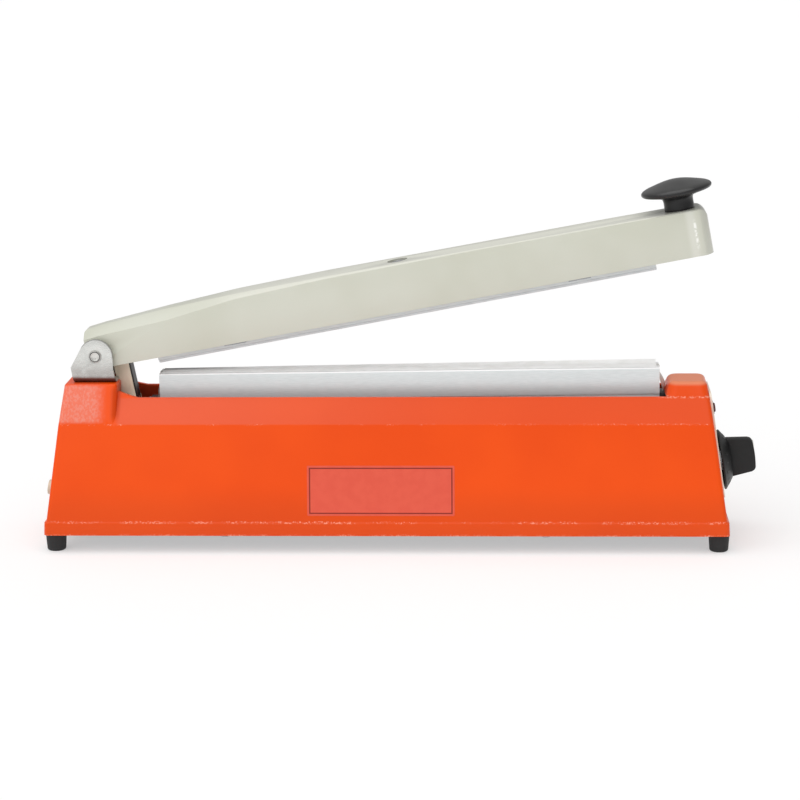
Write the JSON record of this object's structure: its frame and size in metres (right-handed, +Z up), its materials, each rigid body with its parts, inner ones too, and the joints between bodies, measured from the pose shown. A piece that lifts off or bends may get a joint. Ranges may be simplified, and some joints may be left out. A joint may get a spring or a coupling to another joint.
{
  "type": "hand impulse sealer",
  "caption": "Hand impulse bag sealer: a sprung arm with a press knob, hinged over a taped heating bar on a long box base with a timer knob at its end.",
  "frame": {"origin": "on the bench, under the middle of the machine", "axes": "+X along the sealing bar from the hinge to the timer knob, +Y away from the operator, +Z up"},
  "size_m": [0.4498, 0.082, 0.2287],
  "materials": {
    "housing_orange": "gloss enamel, lightly worn at the edges",
    "arm_cream": "gloss enamel",
    "leg_beige": "satin enamel",
    "leg_dark": "matt black",
    "plate_steel": "plain zinc-plated sheet",
    "bracket_steel": "polished stainless sheet",
    "pin_steel": "polished",
    "screw_zinc": "bright zinc",
    "spring_steel": "drawn wire",
    "bush_bronze": "sintered bronze",
    "bar_aluminium": "satin extrusion",
    "cover_cloth": "coated glass cloth, smooth",
    "base_tape": "coated glass cloth, brown",
    "element_alloy": "rolled heating ribbon",
    "black_plastic": "matt",
    "stand_plastic": "phenolic, dull",
    "knob_black": "satin moulding",
    "pointer_white": "inlaid paint",
    "rubber_black": "matt",
    "pad_silicone": "milky silicone",
    "dial_cream": "gloss sheet",
    "lamp_clear": "domed lens",
    "gland_nylon": "moulded nylon, undyed",
    "core_iron": "varnished laminations",
    "coil_copper": "taped winding",
    "board_green": "solder mask",
    "relay_blue": "moulded case",
    "capacitor_sleeve": "shrunk sleeve"
  },
  "bodies": {
    "base": {"base_housing": "housing_orange", "bottom_plate": "plate_steel", "foot_front_left": "rubber_black", "foot_front_right": "rubber_black", "foot_rear_left": "rubber_black", "foot_rear_right": "rubber_black", "foot_screws": "screw_zinc", "bottom_plate_screws": "screw_zinc", "hinge_bracket": "bracket_steel", "hinge_bracket_screws": "screw_zinc", "hinge_pin": "pin_steel", "hinge_washers": "black_plastic", "sealing_bar": "bar_aluminium", "bar_stands": "stand_plastic", "bar_screws": "screw_zinc", "insulating_tape": "base_tape", "heating_element": "element_alloy", "cover_cloth": "cover_cloth", "terminal_left": "black_plastic", "terminal_right": "black_plastic", "terminal_screws": "screw_zinc", "arm_stop": "rubber_black", "return_springs": "spring_steel", "spring_seats": "plate_steel", "switch_body": "black_plastic", "switch_bracket": "plate_steel", "switch_screws": "screw_zinc", "dial_plate": "dial_cream", "potentiometer": "plate_steel", "timer_nut": "screw_zinc", "lamp_body": "black_plastic", "lamp_lens": "lamp_clear", "cord_gland": "gland_nylon", "transformer_core": "core_iron", "transformer_coil": "coil_copper", "transformer_strap": "plate_steel", "transformer_screws": "screw_zinc", "timer_board": "board_green", "board_standoffs": "stand_plastic", "board_screws": "screw_zinc", "relay": "relay_blue", "capacitor": "capacitor_sleeve"},
    "arm": {"arm_shell": "arm_cream", "arm_tongue": "leg_beige", "tongue_striker": "leg_dark", "striker_rivets": "screw_zinc", "tongue_screws": "screw_zinc", "arm_bush": "bush_bronze", "pad_holder": "bar_aluminium", "silicone_pad": "pad_silicone", "pad_screw": "screw_zinc", "holder_clips": "plate_steel", "press_knob": "knob_black", "press_knob_screw": "screw_zinc"},
    "timer": {"timer_knob": "knob_black", "knob_pointer": "pointer_white", "timer_shaft": "pin_steel"},
    "lever": {"switch_lever": "spring_steel"},
    "button": {"switch_button": "stand_plastic"}
  },
  "joints": [
    {"name": "arm_hinge", "type": "hinge", "parent": "base", "child": "arm", "pos_m": [-0.18745, 0, 0.1209], "axis": [0, 1, 0], "range_deg": [0, 9.9], "stiffness_Nm_per_rad": 5, "springref_deg": -25.78, "deforming": ["return_springs"]},
    {"name": "timer_turn", "type": "hinge", "parent": "base", "child": "timer", "pos_m": [0.20001, 0, 0.05], "axis": [0.9898, 0, 0.1426], "range_deg": [-150, 150]},
    {"name": "switch_lever_hinge", "type": "hinge", "parent": "base", "child": "lever", "pos_m": [-0.1741, 0, 0.0605], "axis": [0, 1, 0], "range_deg": [-19.2, 0]},
    {"name": "switch_button_slide", "type": "slide", "parent": "base", "child": "button", "axis": [1, 0, 0], "range_m": [-0.00128, 0]}
  ],
  "couplings": [
    {"joint": "switch_lever_hinge", "follows": "arm_hinge", "ratio": -1.9302},
    {"joint": "switch_button_slide", "follows": "arm_hinge", "m_per_rad": -0.0073628}
  ]
}
